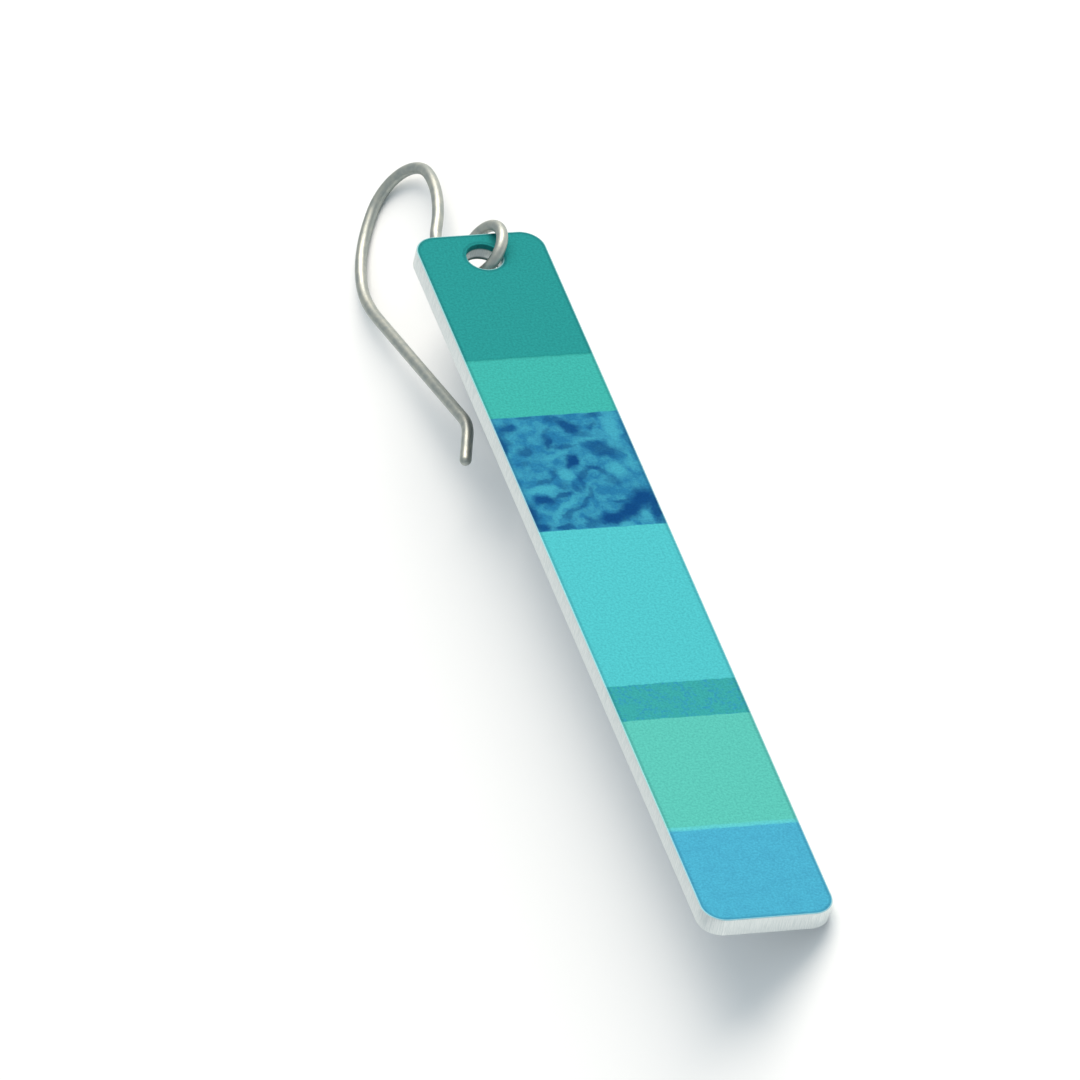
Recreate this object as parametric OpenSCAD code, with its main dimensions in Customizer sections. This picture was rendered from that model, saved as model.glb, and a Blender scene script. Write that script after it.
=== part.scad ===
// Bar earring: a flat anodised aluminium bar hanging on a round ear wire.
// Units are millimetres, +Z is up. The earring lies as it rests by itself: on
// the bar's right long edge and on the back of the ear wire. The origin is on
// the floor, under the middle of the whole earring.

/* [Bar] */
// width of the bar across its face
bar_w = 8; // [6:0.5:12]
// length of the bar
bar_l = 58; // [40:1:75]
// thickness of the sheet
bar_t = 1.2; // [0.8:0.1:2]
// radius of the four corners
corner_r = 1.4; // [0.5:0.1:2.5]
// metal left between the hole and the top end
rim_w = 0.9; // [0.7:0.05:1.5]

/* [Ear wire loop] */
// diameter of the wire
wire_d = 0.7; // [0.5:0.05:0.9]
// least gap between the loop and the bar
loop_gap = 0.05; // [0.03:0.01:0.15]
// how far the loop is drawn from the middle of the rim into the hole
loop_drop = 0.36; // [0.2:0.02:0.5]
// how far the loop sits to the right of the hole's centre
loop_side = 0.39; // [0:0.01:0.5]
// gap between the loop's cut end and the neck
end_gap = 0.1; // [0.05:0.05:0.3]
// angle between the bar's face and the plane of the ear wire
hook_lean = 58; // [50:1:70]
// how far the ear wire tips towards the bar's right side
hook_tilt = 10; // [0:1:15]

/* [Ear wire hook] */
// where the neck leaves the loop, as an angle on its circle
leave_a = -25; // [-40:1:0]
// straight neck from the loop up to the bend
neck_l = 4.1; // [3:0.05:6]
// radius of the bend over the neck
neck_r = 2.2; // [1:0.1:3]
// turn of that bend
neck_a = 47; // [30:1:60]
// radius of the front leg's slow curve
leg_r = 7; // [5:0.1:9]
// turn of the front leg
leg_a = 40; // [30:1:50]
// radius at the top of the hook
top_r = 2.77; // [2:0.01:3.5]
// turn at the top of the hook
top_a = 122; // [110:1:130]
// radius of the bow behind the top
bow_r = 7.7; // [6:0.1:9]
// turn of the bow
bow_a = 55; // [45:1:65]
// radius of the long back leg
back_r = 17; // [10:1:30]
// turn of the back leg
back_a = 6; // [2:1:10]
// straight lower part of the back leg
tail_l = 14; // [8:0.1:16]
// radius of the small kick near the free end
kick_r = 2.6; // [1:0.1:4]
// turn of the kick
kick_a = 37; // [20:1:50]
// straight free end, which goes through the ear
free_l = 2; // [1.5:0.1:4]

/* [Hidden] */
$fn = 44;
wire_r = wire_d / 2;
// the wire's radius and its gap, as the leaning plane of the loop meets them
reach_w = (wire_r + loop_gap) / sin(hook_lean) / cos(hook_tilt);
// the rim's section in the plane of the loop
rim_depth = bar_t / sin(hook_lean);
// how far that plane moves sideways from the middle of the bar to a face
slip = bar_t / 2 / tan(hook_lean);
// the loop goes round the rim's farthest corner
loop_r = norm([rim_depth / 2, (rim_w / 2 + loop_drop + slip * sin(hook_tilt)) / cos(hook_tilt)]) + reach_w;
pass_l = sqrt(loop_r * loop_r - rim_depth * rim_depth / 4);
// where the wire passes the front face (side 1) and the back (side -1): across
// from the hole's centre and down from its upper edge
function pass(side) = [
    loop_side + side * slip * cos(hook_tilt) - pass_l * sin(hook_tilt),
    loop_drop - rim_w / 2 + side * slip * sin(hook_tilt) + pass_l * cos(hook_tilt)
];
// radius of the hole that just clears the wire there
function clear_r(p) = (p * p - reach_w * reach_w) / (2 * (p[1] - reach_w));
hole_r = max(clear_r(pass(1)), clear_r(pass(-1)));
hole_y = rim_w + hole_r;
// the loop's centre, seen from the hole's centre on the face
loop_x = loop_side;
loop_y = hole_r + rim_w / 2 - loop_drop;
loop_z = -bar_t / 2;
// turn of the loop from its cut end to the neck
loop_a = 360 - acos((loop_r - wire_r - end_gap) / (loop_r + wire_r));

// the wire's stretches: radius and turn, left turns positive, or length and 0
bends = [
    [loop_r, loop_a],
    [neck_l, 0],
    [neck_r, neck_a],
    [leg_r, -leg_a],
    [top_r, -top_a],
    [bow_r, -bow_a],
    [back_r, -back_a],
    [tail_l, 0],
    [kick_r, kick_a],
    [free_l, 0]
];
// rings of the skin on each stretch before the free end
cuts = [40, 2, 6, 6, 12, 12, 4, 2, 5];
cut_a = leave_a - loop_a;
start = [loop_r * cos(cut_a), loop_r * sin(cut_a), cut_a + 90];

// position and heading after a part of a stretch
function along(p, b, part) = b[1] == 0
    ? [p[0] + b[0] * part * cos(p[2]), p[1] + b[0] * part * sin(p[2]), p[2]]
    : [
        p[0] + sign(b[1]) * b[0] * (sin(p[2] + b[1] * part) - sin(p[2])),
        p[1] - sign(b[1]) * b[0] * (cos(p[2] + b[1] * part) - cos(p[2])),
        p[2] + b[1] * part
    ];
// position and heading where stretch i begins
function place(i) = i == 0 ? start : along(place(i - 1), bends[i - 1], 1);

// the skin is a shade wider than the free end, which begins inside it
sides = 16;
skin_r = wire_r * 1.01 / cos(180 / sides);
rings = concat(
    [for (i = [0 : 8]) for (k = [0 : cuts[i] - 1]) along(place(i), bends[i], k / cuts[i])],
    [place(9)]
);
// corner k of the ring that stands across the wire at p
function skin_point(p, k) =
    let (out = skin_r * cos(k * 360 / sides))
        [p[0] - out * sin(p[2]), p[1] + out * cos(p[2]), skin_r * sin(k * 360 / sides)];

// middle line of the hook in the frame at the hole's centre
path = [
    for (i = [1 : 9]) let (p = place(i)) for (k = [0 : 40])
        let (q = along(p, bends[i], k / 40)) [
            loop_x - q[0] * cos(hook_lean) * cos(hook_tilt) + q[1] * sin(hook_tilt),
            loop_y + q[0] * cos(hook_lean) * sin(hook_tilt) + q[1] * cos(hook_tilt),
            loop_z - q[0] * sin(hook_lean)
        ]
];

// roll of the earring about its length, lying on the edge and the wire's back
roll_a = max([
    for (q = path) let (x = bar_w / 2 - q[0], z = -bar_t - q[2])
        atan2(z, x) + asin(wire_r / norm([x, z]))
]);
lift = bar_w / 2 * sin(roll_a) + bar_t * cos(roll_a);
// middle of the earring on the floor
right_x = bar_w / 2 * cos(roll_a);
left_x = min([for (q = path) q[0] * cos(roll_a) + q[2] * sin(roll_a)]) - wire_r;
top_y = max([for (q = path) q[1]]) + wire_r;
end_y = hole_y - bar_l;

// from the frame at the hole's centre on the face to the resting earring
module at_rest() {
    translate([-(right_x + left_x) / 2, -(top_y + end_y) / 2, lift])
        rotate([0, roll_a, 0])
            children();
}

// outline of the bar with its rounded corners
module outline() {
    translate([-bar_w / 2 + corner_r, end_y])
        square([bar_w - 2 * corner_r, bar_l]);
    translate([-bar_w / 2, end_y + corner_r])
        square([bar_w, bar_l - 2 * corner_r]);
    for (x = [-1, 1], y = [end_y + corner_r, hole_y - corner_r])
        translate([x * (bar_w / 2 - corner_r), y])
            circle(r = corner_r);
}

// flat bar, dyed and sealed on its face, with one hole for the loop
module bar() {
    color([0.24, 0.68, 0.72])
        at_rest()
            difference() {
                translate([0, 0, -bar_t])
                    linear_extrude(height = bar_t)
                        outline();
                translate([0, 0, -bar_t - 1])
                    cylinder(r = hole_r, h = bar_t + 2);
            }
}

// one-piece ear wire with its loop through the bar's hole: a round skin swept
// along the stretches, and an exact free end for the ear
module ear_wire() {
    count = len(rings);
    color([0.72, 0.7, 0.66])
        at_rest()
            translate([loop_x, loop_y, loop_z])
                rotate([0, 180 - hook_lean, -hook_tilt]) {
                    polyhedron(
                        points = [for (p = rings) for (k = [0 : sides - 1]) skin_point(p, k)],
                        faces = concat(
                            [[for (k = [0 : sides - 1]) k]],
                            [
                                for (i = [0 : count - 2]) for (k = [0 : sides - 1])
                                    let (a = i * sides, b = a + sides, n = (k + 1) % sides)
                                        [a + k, b + k, b + n, a + n]
                            ],
                            [[for (k = [sides - 1 : -1 : 0]) (count - 1) * sides + k]]
                        )
                    );
                    translate([place(9)[0], place(9)[1], 0])
                        rotate([0, 0, place(9)[2]])
                            translate([-wire_r, 0, 0])
                                rotate([0, 90, 0])
                                    cylinder(r = wire_r, h = free_l + wire_r);
                }
}

bar();
ear_wire();
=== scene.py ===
"""The bar earring, lying on a pale floor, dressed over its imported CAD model.

Each piece is worked out in millimetres and put into Blender in metres. The
bar's own frame begins at the middle of its hole on the dyed face: x runs across
to the right, y up to the top end and z out of the face.
"""
import math

import bmesh
import bpy
import numpy as np
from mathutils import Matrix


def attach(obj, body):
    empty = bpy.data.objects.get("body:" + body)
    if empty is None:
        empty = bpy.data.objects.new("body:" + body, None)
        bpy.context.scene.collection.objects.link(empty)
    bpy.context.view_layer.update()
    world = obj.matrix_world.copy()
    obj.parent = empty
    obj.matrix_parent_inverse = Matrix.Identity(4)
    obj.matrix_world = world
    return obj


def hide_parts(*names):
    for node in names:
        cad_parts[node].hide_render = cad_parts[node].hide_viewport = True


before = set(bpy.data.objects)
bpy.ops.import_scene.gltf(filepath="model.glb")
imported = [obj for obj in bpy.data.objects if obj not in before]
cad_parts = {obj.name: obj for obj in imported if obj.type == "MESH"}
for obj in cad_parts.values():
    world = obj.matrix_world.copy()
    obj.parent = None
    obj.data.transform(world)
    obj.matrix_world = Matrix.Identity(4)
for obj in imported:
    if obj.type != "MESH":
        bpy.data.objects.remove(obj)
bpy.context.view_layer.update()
scene = bpy.context.scene

# Camera
# A long lens, turned about its own axis, as the photo was taken: it sees the
# bar's face from its left side and its lower end.
CAMERA_AT = (0.298623, -0.771656, 0.788394)
CAMERA_TO = (-0.003977, 0.009181, -0.00532)
CAMERA_ROLL = math.radians(52.807)
CAMERA_LENS = 658.8
CAMERA_SENSOR = 36
CAMERA_REACH = (0.05, 20)  # from how near to how far it sees, in metres


def aim(name, data, at, towards, roll=0.0):
    """A new camera or lamp at one point that looks at another.

    Its right is cos(roll) times the level direction less sin(roll) times the one square above that.
    """
    ahead = np.subtract(towards, at)
    ahead = ahead / np.linalg.norm(ahead)
    level = np.cross(ahead, (0, 0, 1))
    level = level / np.linalg.norm(level)
    right = level * math.cos(roll) - np.cross(level, ahead) * math.sin(roll)
    turn = np.eye(4)
    turn[:3] = np.column_stack([right, np.cross(right, ahead), -ahead, at])
    thing = bpy.data.objects.new(name, data)
    thing.matrix_world = turn.T
    scene.collection.objects.link(thing)
    return thing


camera_data = bpy.data.cameras.new("camera")
camera_data.lens = CAMERA_LENS
camera_data.sensor_width = CAMERA_SENSOR
camera_data.clip_start, camera_data.clip_end = CAMERA_REACH
scene.camera = aim("camera", camera_data, CAMERA_AT, CAMERA_TO, CAMERA_ROLL)

# Ear wire
# One French hook of round satin silver wire, bent as a chain of stretches in one
# plane, which leans against the bar's face and tips to its right. Its loop goes
# straight through the bar's hole, and the free end is rounded for the ear.
WIRE_R = 0.35
LOOP_GAP = 0.05  # between the loop and the bar
LOOP_DROP = 0.36  # how far the loop's centre is below the middle of the rim
LOOP_SIDE = 0.39  # how far it is to the right of the hole's centre
END_GAP = 0.1  # between the loop's cut end and the neck
LEAVE_A = math.radians(-25)  # where the neck leaves the loop, on its circle
HOOK_LEAN = math.radians(58)
HOOK_TILT = math.radians(10)
# the bar's sizes, which fit the loop to the rim and lay the earring down
BAR_W, BAR_L, BAR_T = 8, 58, 1.2
RIM_W = 0.9  # metal between the hole and the top end

# the loop clears the rim's farthest corner and the hole clears the loop
cos_lean, sin_lean = math.cos(HOOK_LEAN), math.sin(HOOK_LEAN)
cos_tilt, sin_tilt = math.cos(HOOK_TILT), math.sin(HOOK_TILT)
reach = (WIRE_R + LOOP_GAP) / sin_lean / cos_tilt
rim_depth = BAR_T / sin_lean
slip = BAR_T / 2 * cos_lean / sin_lean
loop_r = math.hypot(rim_depth / 2, (RIM_W / 2 + LOOP_DROP + slip * sin_tilt) / cos_tilt) + reach
pass_l = math.sqrt(loop_r**2 - rim_depth**2 / 4)
pass_x = LOOP_SIDE + slip * cos_tilt - pass_l * sin_tilt
pass_y = LOOP_DROP - RIM_W / 2 + slip * sin_tilt + pass_l * cos_tilt
hole_r = (pass_x**2 + pass_y**2 - reach**2) / (2 * (pass_y - reach))
top_y = RIM_W + hole_r
end_y = top_y - BAR_L
loop_at = np.array([LOOP_SIDE, hole_r + RIM_W / 2 - LOOP_DROP, -BAR_T / 2])
loop_turn = 2 * math.pi - math.acos((loop_r - WIRE_R - END_GAP) / (loop_r + WIRE_R))
behind = np.array([-cos_lean * cos_tilt, cos_lean * sin_tilt, -sin_lean])
above = np.array([sin_tilt, cos_tilt, 0])

# each stretch: name, radius or length, turn in degrees (left positive), steps
LOOP_STEPS = 110
STRETCHES = [
    ("loop", loop_r, math.degrees(loop_turn), LOOP_STEPS),
    ("neck", 4.1, 0, 8),
    ("neck bend", 2.2, 47, 18),
    ("front leg", 7.0, -40, 22),
    ("top", 2.77, -122, 50),
    ("bow", 7.7, -55, 36),
    ("back leg", 17.0, -6, 8),
    ("tail", 14.0, 0, 14),
    ("kick", 2.6, 37, 16),
    ("free end", 2.0, 0, 6),
]


def wire_path():
    """Rows of x, y, heading and length so far in the hook's plane, from the cut end to the free end.

    A bend moves the point by its radius times the change of (sin, -cos) of the heading, and a straight
    moves it along (cos, sin) of the heading.
    """
    heading = LEAVE_A - loop_turn + math.pi / 2
    at, run = loop_r * np.array([math.sin(heading), -math.cos(heading)]), 0.0
    stretches = [[(*at, heading, run)]]
    for _, size, degrees, steps in STRETCHES:
        part = np.arange(1, steps + 1) / steps
        turned = math.radians(degrees)
        headings = heading + turned * part
        if turned:
            across, up = np.sin(headings) - math.sin(heading), math.cos(heading) - np.cos(headings)
            moved, length = math.copysign(size, turned) * np.stack([across, up], -1), abs(turned) * size
        else:
            moved, length = size * part[:, None] * (math.cos(heading), math.sin(heading)), size
        stretches.append(np.column_stack([at + moved, headings, run + length * part]))
        at, heading, run = stretches[-1][-1, :2], stretches[-1][-1, 2], stretches[-1][-1, 3]
    return np.concatenate(stretches)


def in_plane(x, y, aside=0.0):
    """Points in the bar's own frame: x behind and y above in the hook's plane, and aside square to it."""
    parts = ((x, behind), (y, above), (aside, np.cross(behind, above)))
    return loop_at + sum(np.multiply.outer(amount, direction) for amount, direction in parts)


# the earring rolls about its length until the bar's right long edge and the back
# of the hook both touch the floor
path = wire_path()
hook = in_plane(*path[LOOP_STEPS:, :2].T)
from_edge, from_back = BAR_W / 2 - hook[:, 0], -BAR_T - hook[:, 2]
rolls = np.arctan2(from_back, from_edge) + np.arcsin(WIRE_R / np.hypot(from_edge, from_back))
cos_roll, sin_roll = math.cos(rolls.max()), math.sin(rolls.max())
left_x = (hook[:, 0] * cos_roll + hook[:, 2] * sin_roll).min() - WIRE_R
middle_x = (BAR_W / 2 * cos_roll + left_x) / 2
middle_y = (hook[:, 1].max() + WIRE_R + end_y) / 2
lift = BAR_W / 2 * sin_roll + BAR_T * cos_roll


def lay(points):
    """Points of the bar's own frame on the resting earring, in metres.

    They turn by the roll in x and z, and move until the middle is over the origin and the edge on the floor.
    """
    x, y, z = np.asarray(points, float).T
    turned = [x * cos_roll + z * sin_roll - middle_x, y - middle_y, z * cos_roll - x * sin_roll + lift]
    return np.stack(turned, -1) / 1000


def band_faces(rings, size):
    """Quads between closed rings of points: a corner and the next one, then the same two a ring farther."""
    corner = np.arange(rings - 1)[:, None] * size + np.arange(size)
    following = np.roll(corner, -1, axis=1)
    return np.stack([corner, following, following + size, corner + size], -1).reshape(-1, 4)


def mesh_piece(name, points, faces, smooth, own):
    """A new object of those points and faces, with each point's own place kept as the attribute own_mm."""
    mesh = bpy.data.meshes.new(name)
    mesh.from_pydata(points.tolist(), [], faces)
    mesh.polygons.foreach_set("use_smooth", smooth)
    mesh.attributes.new("own_mm", "FLOAT_VECTOR", "POINT").data.foreach_set("vector", np.ravel(own))
    mesh.update()
    piece = bpy.data.objects.new(name, mesh)
    scene.collection.objects.link(piece)
    return piece


SIDES = 32
CUT_EDGE = (0.6, 0.9)  # shares of the wire's radius on the cut end's filed edge
DOME = (0.25, 0.5, 0.7, 0.85, 0.95)  # shares of it that each ring of the round tip goes forward

cut, tip = path[0], path[-1]
back_off = WIRE_R * (np.array(DOME) - 1)
dome = tip + back_off[:, None] * (math.cos(tip[2]), math.sin(tip[2]), 0, 1)
rows = np.concatenate([[cut] * len(CUT_EDGE), path[1:-1], dome])
shares = np.concatenate([CUT_EDGE, np.ones(len(path) - 2), np.sqrt(1 - np.square(DOME))])
angle = np.arange(SIDES) * 2 * math.pi / SIDES


def wire_skin():
    """Rounds across the wire, as a grid of row and angle, in the bar's own frame.

    A round has the wire's radius times its row's share: cos of the angle goes across the heading in the
    hook's plane, and sin of it goes aside.
    """
    x, y, heading, _ = rows.T[..., None]
    radius = WIRE_R * shares[:, None]
    out = radius * np.cos(angle)
    return in_plane(x - out * np.sin(heading), y + out * np.cos(heading), radius * np.sin(angle))


# both ends close on a point, and each point knows its place round and along
wire_points = np.concatenate([wire_skin().reshape(-1, 3), [in_plane(*cut[:2]), in_plane(*tip[:2])]])
corner = np.arange(SIDES)
following = np.roll(corner, -1)
last = (len(rows) - 1) * SIDES
first_cap = np.column_stack([following, corner, np.full(SIDES, last + SIDES)])
last_cap = np.column_stack([last + corner, last + following, np.full(SIDES, last + SIDES + 1)])
wire_faces = [*band_faces(len(rows), SIDES).tolist(), *first_cap.tolist(), *last_cap.tolist()]
around = np.tile(angle, len(rows))
wire_own = np.column_stack([WIRE_R * np.cos(around), WIRE_R * np.sin(around), np.repeat(rows[:, 3], SIDES)])
wire_own = np.concatenate([wire_own, [(0, 0, cut[3]), (0, 0, tip[3])]])
ear_wire = mesh_piece("ear_wire_skin", lay(wire_points), wire_faces, [True] * len(wire_faces), wire_own)


def colour(red, green, blue):
    """The linear colour of 8-bit screen values.

    A value over 255 becomes (value + 0.055) / 1.055 to the power 2.4, or value / 12.92 where it is tiny.
    """
    parts = np.array([red, green, blue]) / 255
    linear = np.where(parts < 0.04045, parts / 12.92, ((parts + 0.055) / 1.055) ** 2.4)
    return (*linear.tolist(), 1)


class Shader:
    """Builds a node tree. feed links sockets to a node's inputs and sets plain values, and add makes
    the node first. The others add one kind of node and give its output."""

    def __init__(self, tree):
        self.tree = tree

    def feed(self, node, sockets):
        for key, value in sockets.items():
            if isinstance(value, bpy.types.NodeSocket):
                self.tree.links.new(value, node.inputs[key])
            else:
                node.inputs[key].default_value = value
        return node

    def add(self, kind, sockets, **settings):
        node = self.tree.nodes.new(kind)
        for key, value in settings.items():
            setattr(node, key, value)
        return self.feed(node, sockets)

    def attribute(self, name, output):
        return self.add("ShaderNodeAttribute", {}, attribute_name=name).outputs[output]

    def math(self, operation, *values):
        return self.add("ShaderNodeMath", dict(enumerate(values)), operation=operation).outputs[0]

    def vector(self, operation, *values, output="Vector"):
        node = self.add("ShaderNodeVectorMath", dict(enumerate(values)), operation=operation)
        return node.outputs[output]

    def scaled(self, vector, x, y, z):
        return self.vector("MULTIPLY", vector, (x, y, z))

    def mix(self, factor, a, b, blend="MIX"):
        sockets = {0: factor, 6: a, 7: b}
        return self.add("ShaderNodeMix", sockets, data_type="RGBA", blend_type=blend).outputs[2]

    def span(self, value, low, high, to_low=0.0, to_high=1.0):
        """Carries low to high over to to_low to to_high, with soft ends."""
        sockets = {"Value": value, "From Min": low, "From Max": high, "To Min": to_low, "To Max": to_high}
        return self.add("ShaderNodeMapRange", sockets, interpolation_type="SMOOTHSTEP").outputs[0]

    def noise(self, vector, scale, detail, rough=0.5, output="Fac"):
        sockets = {"Vector": vector, "Scale": scale, "Detail": detail, "Roughness": rough}
        return self.add("ShaderNodeTexNoise", sockets).outputs[output]


def new_group(name, **outputs):
    """The builder of a new shader node group with those outputs, given with their kinds of socket."""
    tree = bpy.data.node_groups.new(name, "ShaderNodeTree")
    for label, kind in outputs.items():
        tree.interface.new_socket(label, in_out="OUTPUT", socket_type="NodeSocket" + kind)
    return Shader(tree)


def new_material(name):
    """A material with one principled shader, its builder and that shader."""
    material = bpy.data.materials.new(name)
    material.use_nodes = True
    return material, Shader(material.node_tree), material.node_tree.nodes["Principled BSDF"]


# drawn wire: faint marks along its length and a slight dull mottle
make = new_group("drawn_wire", Color="Color", Roughness="Float", Height="Float")
own = make.attribute("own_mm", "Vector")
marks = make.noise(make.scaled(own, 9, 9, 0.35), 3.0, 3, 0.6)
mottle = make.noise(own, 2.2, 2)
tone = make.mix(make.span(mottle, 0.35, 0.65), colour(158, 166, 163), colour(174, 179, 172))
dullness = make.span(marks, 0.3, 0.7, 0.4, 0.52)
make.add("NodeGroupOutput", {"Color": tone, "Roughness": dullness, "Height": marks})
drawn_wire = make.tree

silver, make, surface = new_material("satin_silver")
drawn = make.add("ShaderNodeGroup", {}, node_tree=drawn_wire).outputs
bump = make.add("ShaderNodeBump", {"Height": drawn["Height"], "Strength": 0.08, "Distance": 0.00002})
make.feed(surface, {"Base Color": drawn["Color"], "Roughness": drawn["Roughness"], "Normal": bump.outputs[0]})
make.feed(surface, {"Metallic": 1})
ear_wire.data.materials.append(silver)
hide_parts("ear_wire")
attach(ear_wire, "root")

# Bar
# A flat aluminium bar, sawn and filed to its outline, with one drilled hole. The
# face is anodised and dyed in seven blocks, one of them marbled. The edge, the
# hole's wall and the back are bare satin metal.
CORNER_R = 1.4
EDGE_R = 0.07  # the broken edge round the outline and the hole
LIP = 0.3  # the flat strip that goes round the face inside the broken edge
CORNER_STEPS, HOLE_STEPS = 14, 72


def outline(inset):
    """The bar's outline, anticlockwise, once for each inset: quarter rounds about its corners' centres."""
    corner, step = np.divmod(np.arange(4 * (CORNER_STEPS + 1)), CORNER_STEPS + 1)
    turned = (corner + step / CORNER_STEPS) * math.pi / 2
    centre_x = np.array([1, -1, -1, 1])[corner] * (BAR_W / 2 - CORNER_R)
    centre_y = np.array([1, 1, -1, -1])[corner] * (BAR_L / 2 - CORNER_R) + (top_y + end_y) / 2
    radius = CORNER_R - inset[:, None]
    return np.stack([centre_x + radius * np.cos(turned), centre_y + radius * np.sin(turned)], -1)


def hole(inset):
    """Rounds of the hole's radius plus each inset, clockwise."""
    turned = -np.arange(HOLE_STEPS) * 2 * math.pi / HOLE_STEPS
    return (hole_r + inset[:, None, None]) * np.stack([np.cos(turned), np.sin(turned)], -1)


def fill(rings):
    """Flat triangles between closed rings, as rows of three indices of their points, all anticlockwise.

    A triangle is turned round where half the cross product of two of its sides, its area, is negative.
    """
    points, size = np.concatenate(rings), [len(ring) for ring in rings]
    corner, first = np.arange(len(points)), np.repeat(np.cumsum(size) - size, size)
    edges = np.column_stack([corner, first + (corner - first + 1) % np.repeat(size, size)])
    mesh = bpy.data.meshes.new("sheet")
    mesh.from_pydata(points.tolist(), edges.tolist(), [])
    sheet = bmesh.new()
    sheet.from_mesh(mesh)
    bmesh.ops.triangle_fill(sheet, use_beauty=True, use_dissolve=False, edges=sheet.edges[:])
    sheet.to_mesh(mesh)
    sheet.free()
    triangles = np.empty(len(mesh.loops), np.int32)
    mesh.loops.foreach_get("vertex_index", triangles)
    bpy.data.meshes.remove(mesh)
    triangles = triangles.reshape(-1, 3)
    a, b, c = points[triangles, :2].transpose(1, 0, 2)
    area = ((b - a)[:, 0] * (c - a)[:, 1] - (b - a)[:, 1] * (c - a)[:, 0]) / 2
    return np.where(area[:, None] > 0, triangles, triangles[:, ::-1])


# the edge's section from face to back: how far in from the wall and how deep
quarter = np.radians([0, 22.5, 45, 67.5, 90])
near_in, far_in = EDGE_R * (1 - np.sin(quarter)), EDGE_R * (1 - np.cos(quarter))
inset = np.concatenate([[LIP], near_in, far_in, [LIP]])
depth = np.concatenate([[0], -far_in, near_in - BAR_T, [-BAR_T]])

# the section goes round the outline and the hole, and the face and the back are
# filled between the first rings and between the last
walls = [np.insert(shape(inset), 2, depth[:, None], axis=-1) for shape in (outline, hole)]
bar_points = np.concatenate([wall.reshape(-1, 3) for wall in walls])
outline_size, hole_size = (wall.shape[1] for wall in walls)
hole_first = walls[0].shape[0] * outline_size
outline_bands = band_faces(len(inset), outline_size)[:, [0, 3, 2, 1]]
hole_bands = band_faces(len(inset), hole_size)[:, [0, 3, 2, 1]] + hole_first
bar_faces = [*outline_bands.tolist(), *hole_bands.tolist()]
band_smooth = [False, *[True] * (len(inset) - 3), False]
bar_smooth = [*np.repeat(band_smooth, outline_size).tolist(), *np.repeat(band_smooth, hole_size).tolist()]
for level, side in ((0, 1), (len(inset) - 1, -1)):
    on_outline = level * outline_size + np.arange(outline_size)
    on_hole = hole_first + level * hole_size + np.arange(hole_size)
    sheet_faces = np.concatenate([on_outline, on_hole])[fill([bar_points[on_outline], bar_points[on_hole]])]
    bar_faces += sheet_faces[:, ::side].tolist()
    bar_smooth += [False] * len(sheet_faces)

# each point's own place: across, down from the top end, and out of the face
bar_own = bar_points * (1, -1, 1) + (0, top_y, 0)
bar = mesh_piece("bar_plate", lay(bar_points), bar_faces, bar_smooth, bar_own)
from_wall = np.concatenate([np.repeat(inset, wall.shape[1]) for wall in walls])
bar.data.attributes.new("rim_mm", "FLOAT", "POINT").data.foreach_set("value", from_wall)

# the dyed blocks: name, where each ends, down from the top end, and its colour,
# which is made farther down for the marbled one
BLOCKS = [
    ("top", 10.76, (33, 126, 127)),
    ("upper green", 15.74, (51, 150, 146)),
    ("marbled", 25.42, None),
    ("pale blue", 38.5, (65, 163, 173)),
    ("narrow", 41.4, (46, 139, 142)),
    ("lower green", 50.45, (74, 164, 157)),
    ("lowest", BAR_L, (61, 147, 177)),
]
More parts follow.
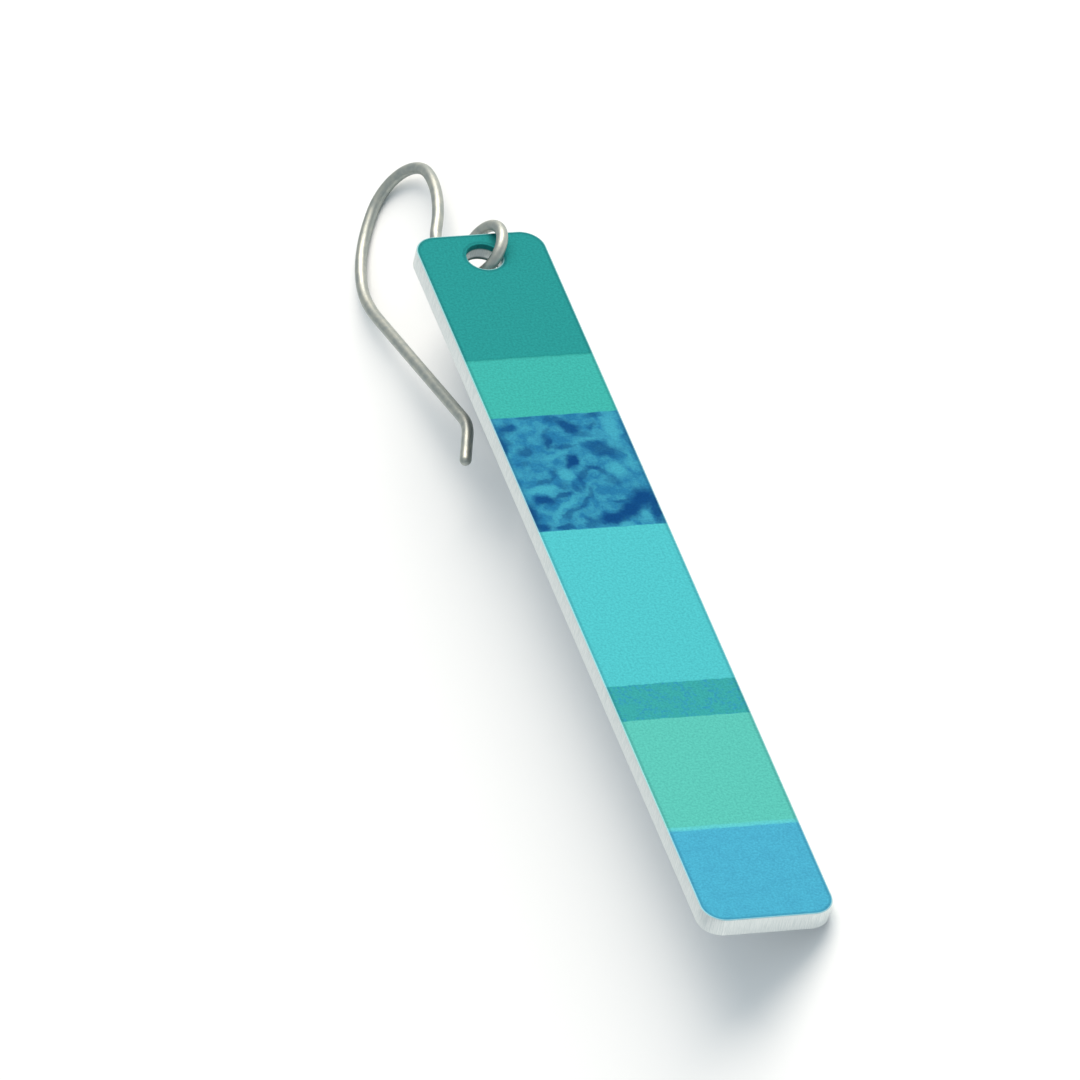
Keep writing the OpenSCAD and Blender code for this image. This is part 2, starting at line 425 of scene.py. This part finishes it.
# dark spots and streaks of the marbled block: across, down, half length, half
# width, tilt in degrees (rising to the right) and depth of the dye
BLOTCHES = [
    (-3.2, 16.65, 0.6, 0.42, 0, 0.75),
    (-3.6, 17.6, 0.9, 0.3, 90, 0.5),
    (-1.9, 15.9, 0.5, 0.2, 0, 0.5),
    (-0.3, 16.05, 0.5, 0.28, 0, 0.5),
    (0.55, 16.75, 0.75, 0.45, -40, 0.9),
    (2.4, 16.0, 0.5, 0.25, 0, 0.6),
    (1.9, 16.9, 0.38, 0.25, 45, 0.5),
    (1.1, 17.5, 0.6, 0.18, -10, 0.45),
    (-1.0, 17.2, 0.6, 0.25, 50, 0.4),
    (-1.15, 18.0, 0.55, 0.33, 70, 0.85),
    (-0.3, 18.4, 0.8, 0.18, 0, 0.6),
    (-2.65, 18.6, 0.5, 0.35, 20, 0.7),
    (-3.85, 18.2, 0.7, 0.2, 90, 0.6),
    (2.0, 18.9, 1.1, 0.65, -25, 0.75),
    (-0.12, 19.75, 0.65, 0.38, 52, 1.0),
    (-3.1, 19.7, 0.4, 0.18, 0, 0.4),
    (0.15, 20.95, 0.6, 0.2, 50, 0.65),
    (0.95, 20.35, 0.55, 0.24, 5, 0.75),
    (1.45, 20.75, 0.38, 0.25, -60, 0.65),
    (-0.05, 21.6, 0.45, 0.18, -75, 0.55),
    (-1.5, 20.75, 0.55, 0.2, 60, 0.55),
    (-2.3, 21.25, 0.6, 0.2, 8, 0.6),
    (-1.3, 21.8, 0.35, 0.3, 0, 0.4),
    (-0.5, 21.9, 0.4, 0.32, -30, 0.5),
    (1.9, 21.6, 0.5, 0.3, -45, 0.5),
    (-2.75, 22.85, 0.75, 0.42, 0, 0.95),
    (-1.5, 22.5, 0.6, 0.22, 15, 0.75),
    (0.15, 22.5, 0.55, 0.18, 65, 0.5),
    (-0.4, 23.2, 0.55, 0.18, 45, 0.55),
    (-1.1, 23.65, 0.6, 0.18, 25, 0.55),
    (-1.75, 24.2, 0.45, 0.2, 60, 0.6),
    (0.9, 24.7, 1.0, 0.55, 15, 1.0),
    (2.1, 24.1, 0.95, 0.55, 28, 1.0),
    (3.1, 23.2, 1.0, 0.75, 50, 1.0),
    (3.65, 24.3, 1.1, 0.35, 90, 0.9),
    (1.8, 23.3, 0.6, 0.18, 10, 0.6),
    (-3.8, 23.9, 0.9, 0.32, 90, 0.85),
    (-3.5, 25.0, 0.55, 0.35, 0, 0.85),
    (-2.2, 25.15, 0.55, 0.28, 15, 0.75),
    (-0.5, 24.9, 0.5, 0.4, 70, 0.55),
    # the last one darkens a strip along the right edge
    (3.85, 18.2, 1.0, 0.2, 90, 0.4),
]
# its palest drifts, in the same way
DRIFTS = [
    (3.1, 17.2, 1.4, 0.5, 85, 0.9),
    (1.3, 18.0, 0.7, 0.2, 0, 0.6),
    (-2.2, 16.8, 0.8, 0.3, 20, 0.5),
    (-0.8, 20.95, 0.45, 0.5, 0, 0.9),
    (2.35, 20.6, 0.5, 0.55, 0, 0.9),
    (-2.7, 21.95, 0.95, 0.35, 0, 0.9),
    (-1.5, 23.2, 1.0, 0.22, 30, 0.8),
    (-2.4, 24.1, 0.7, 0.25, 50, 0.7),
    (1.5, 25.25, 0.55, 0.2, 0, 0.8),
    (2.9, 24.6, 0.45, 0.4, 60, 0.8),
    (-0.9, 19.1, 0.8, 0.2, 20, 0.6),
    (3.4, 20.0, 0.8, 0.3, 90, 0.6),
]
MEET = 0.05  # half width of the soft line where two blocks meet
WANDER = 0.16  # how far that line wanders up and down
WARP = 0.9  # how far the marbled block's spots are pulled about
DYE_AT_EDGE, DYE_IN_HOLE = (-0.015, -0.035), (-0.32, -0.46)  # between which heights the dye ends

make = new_group("dyed_face", Color="Color", Bare="Float", Roughness="Float", Height="Float")
own = make.attribute("own_mm", "Vector")
rim_mm = make.attribute("rim_mm", "Fac")
down, out_of_face = make.add("ShaderNodeSeparateXYZ", {0: own}).outputs[1:]
grain = make.span(make.noise(own, 7.0, 3, 0.65), 0.3, 0.7)
wander = make.noise(make.scaled(own, 1, 0.2, 1), 1.2, 2)
line_at = make.math("ADD", down, make.math("MULTIPLY", make.math("SUBTRACT", wander, 0.5), WANDER))

# marbling: soft spots and streaks, a little warped, over a cloudy ground
fray = make.noise(own, 1.3, 3, 0.55, output="Color")
shift = make.vector("SUBTRACT", fray, (0.5, 0.5, 0.5))
warped = make.vector("ADD", make.scaled(shift, WARP, WARP, 0), own)
flat = make.scaled(warped, 1, 1, 0)


def cover(table):
    """How far the table's spots cover the face: one less the product of what each leaves bare.

    A spot is an ellipse, and the length of the place over its half sizes fades it out from 0.45 to 1.45.
    """
    left = 1.0
    for x, y, half_length, half_width, tilt, strength in table:
        place = {"Vector": flat, "Location": (x, y, 0), "Rotation": (0, 0, -math.radians(tilt))}
        place["Scale"] = (half_length, half_width, 1)
        spot = make.add("ShaderNodeMapping", place, vector_type="TEXTURE").outputs[0]
        distance = make.vector("LENGTH", spot, output="Value")
        left = make.math("MULTIPLY", left, make.span(distance, 1.45, 0.45, 1.0, 1 - strength))
    return make.math("SUBTRACT", 1.0, left)


ink, light = cover(BLOTCHES), cover(DRIFTS)
cloud = make.span(make.noise(warped, 1.1, 4, 0.6), 0.35, 0.65)
marbled = make.mix(cloud, colour(29, 99, 141), colour(46, 125, 155))
marbled = make.mix(light, marbled, colour(54, 140, 164))
marbled = make.mix(ink, marbled, colour(10, 60, 111))

# the blocks one below the other
ends = {name: end for name, end, _ in BLOCKS}
block = colour(*BLOCKS[0][2])
for (_, end, _), (_, _, tone) in zip(BLOCKS[:-1], BLOCKS[1:]):
    step = make.span(line_at, end - MEET, end + MEET)
    block = make.mix(step, block, colour(*tone) if tone else marbled)

# fine blue specks that crept into the narrow block, and a mottle in the lowest
specks = make.span(make.noise(own, 4.5, 3, 0.7), 0.46, 0.6)
creep = make.noise(own, 1.1, 4, 0.65)
below_blue = make.span(line_at, ends["pale blue"] - MEET, ends["pale blue"] + MEET)
over_green = make.span(line_at, ends["narrow"] + MEET, ends["narrow"] - MEET)
crept = make.math("MULTIPLY", make.math("MULTIPLY", below_blue, over_green), make.span(creep, 0.4, 0.55))
block = make.mix(make.math("MULTIPLY", crept, specks), block, colour(42, 128, 157))
below_green = make.span(line_at, ends["lower green"] - MEET, ends["lower green"] + MEET)
mottled = make.math("MULTIPLY", below_green, make.span(creep, 0.42, 0.62, 0.0, 0.6))
block = make.mix(mottled, block, colour(58, 140, 171))


def line_across(at, wide, narrow, strength):
    """A soft line across the bar: full within narrow of its place and gone at wide."""
    return make.span(make.math("ABSOLUTE", make.math("SUBTRACT", line_at, at)), wide, narrow, 0.0, strength)


# a bright line where the lowest block begins and a dull one under the top block
bright = line_across(ends["lower green"] - 0.03, 0.22, 0.08, 0.8)
block = make.mix(bright, block, colour(78, 172, 180))
dull = line_across(ends["top"], 0.16, 0.04, 0.35)
block = make.mix(dull, block, colour(26, 113, 111))
# grain all over, and a dark line with a pale one outside it along the outline and
# the hole; the pale one is light metal on the broken edge with a painted highlight,
# so it is left off the hole's upper side, which is in shade
speckle = make.mix(grain, (0.86, 0.87, 0.88, 1), (1.13, 1.12, 1.11, 1))
block = make.mix(1.0, block, speckle, "MULTIPLY")
dark = make.math("MULTIPLY", make.span(rim_mm, 0.3, 0.18), make.span(rim_mm, 0.06, 0.12))
block = make.mix(dark, block, make.mix(1.0, block, (0.8, 0.78, 0.8, 1), "MULTIPLY"))
from_middle = make.vector("DISTANCE", make.scaled(own, 1, 1, 0), (0, top_y, 0), output="Value")
in_hole = make.span(from_middle, hole_r + 0.5, hole_r + 0.4)
shaded = make.math("MULTIPLY", in_hole, make.span(down, top_y + 0.6, top_y - 0.2))
# painted highlight on the broken edge, left off the hole's upper side where shade falls
pale_edge_and_highlight = make.math("MULTIPLY", make.span(rim_mm, 0.11, 0.05, 0.0, 0.8), make.math("SUBTRACT", 1.0, shaded))
block = make.mix(pale_edge_and_highlight, block, colour(150, 192, 200))

# bare metal with file marks across the edge, painted shade darkening the hole's wall
# towards the back, and a duller back
files = make.noise(make.scaled(own, 9, 9, 0.5), 2.0, 3, 0.65)
metal = make.mix(make.span(files, 0.3, 0.7), colour(210, 219, 219), colour(236, 241, 240))
# painted shade: the hole's wall is darker over its last 0.15 to 0.3 mm before the back
hole_back_shade = make.math("MULTIPLY", in_hole, make.span(out_of_face, 0.3 - BAR_T, 0.15 - BAR_T))
metal = make.mix(hole_back_shade, metal, colour(80, 104, 102))
at_back = make.span(out_of_face, 0.01 - BAR_T, 0.001 - BAR_T)
back = make.math("MULTIPLY", at_back, make.span(rim_mm, 0.06, 0.1))
metal = make.mix(back, metal, colour(178, 182, 183))
# the dye ends just under the face at the edge, and goes deeper into the hole
at_edge = make.math("MULTIPLY", make.span(out_of_face, *DYE_AT_EDGE), make.math("SUBTRACT", 1.0, in_hole))
bare = make.math("MAXIMUM", at_edge, make.span(out_of_face, *DYE_IN_HOLE))
rough = make.math("ADD", make.math("MULTIPLY", files, 0.2), 0.3)
results = {"Color": make.mix(bare, block, metal), "Bare": bare, "Roughness": rough}
make.add("NodeGroupOutput", {**results, "Height": make.mix(bare, grain, files)})
dyed_face = make.tree

dyed, make, surface = new_material("dyed_aluminium")
face = make.add("ShaderNodeGroup", {}, node_tree=dyed_face).outputs
bump = make.add("ShaderNodeBump", {"Height": face["Height"], "Strength": 0.12, "Distance": 0.00003})
metallic = make.math("ADD", make.math("MULTIPLY", face["Bare"], 0.4), 0.2)
make.feed(surface, {"Base Color": face["Color"], "Roughness": face["Roughness"], "Normal": bump.outputs[0]})
make.feed(surface, {"Metallic": metallic, "Specular IOR Level": 0.0})
bar.data.materials.append(dyed)
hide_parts("bar")
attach(bar, "root")

# Floor and light
# A white table, square and large enough to fill every view. An even sky and one
# wide, warm lamp light it from the bar's right and above.
FLOOR_HALF = 3.0
TABLE_WHITE = (0.86, 0.91, 0.94, 1)
SKY_COLOUR = (0.93, 0.98, 1.0, 1)
SKY_STRENGTH = 0.64
LAMP_AT = (0.6, 0.5, 0.63)
LAMP_SIDE = 0.9
LAMP_WATTS = 13.3
LAMP_TINT = (1.0, 0.86, 0.75)

floor_mesh = bpy.data.meshes.new("floor")
floor_corners = FLOOR_HALF * np.array([(-1, -1, 0), (1, -1, 0), (1, 1, 0), (-1, 1, 0)])
floor_mesh.from_pydata(floor_corners.tolist(), [], [(0, 1, 2, 3)])
floor = bpy.data.objects.new("floor", floor_mesh)
scene.collection.objects.link(floor)
white, make, surface = new_material("white_table")
make.feed(surface, {"Base Color": TABLE_WHITE, "Roughness": 0.7, "Specular IOR Level": 0.1})
floor_mesh.materials.append(white)

world = bpy.data.worlds.new("soft_room")
world.use_nodes = True
sky = world.node_tree.nodes["Background"]
Shader(world.node_tree).feed(sky, {"Color": SKY_COLOUR, "Strength": SKY_STRENGTH})
scene.world = world

lamp = bpy.data.lights.new("key", "AREA")
lamp.size = LAMP_SIDE
lamp.energy = LAMP_WATTS
lamp.color = LAMP_TINT
aim("key", lamp, LAMP_AT, (0, 0, 0))

scene.view_settings.view_transform = "Standard"
scene.view_settings.look = "None"
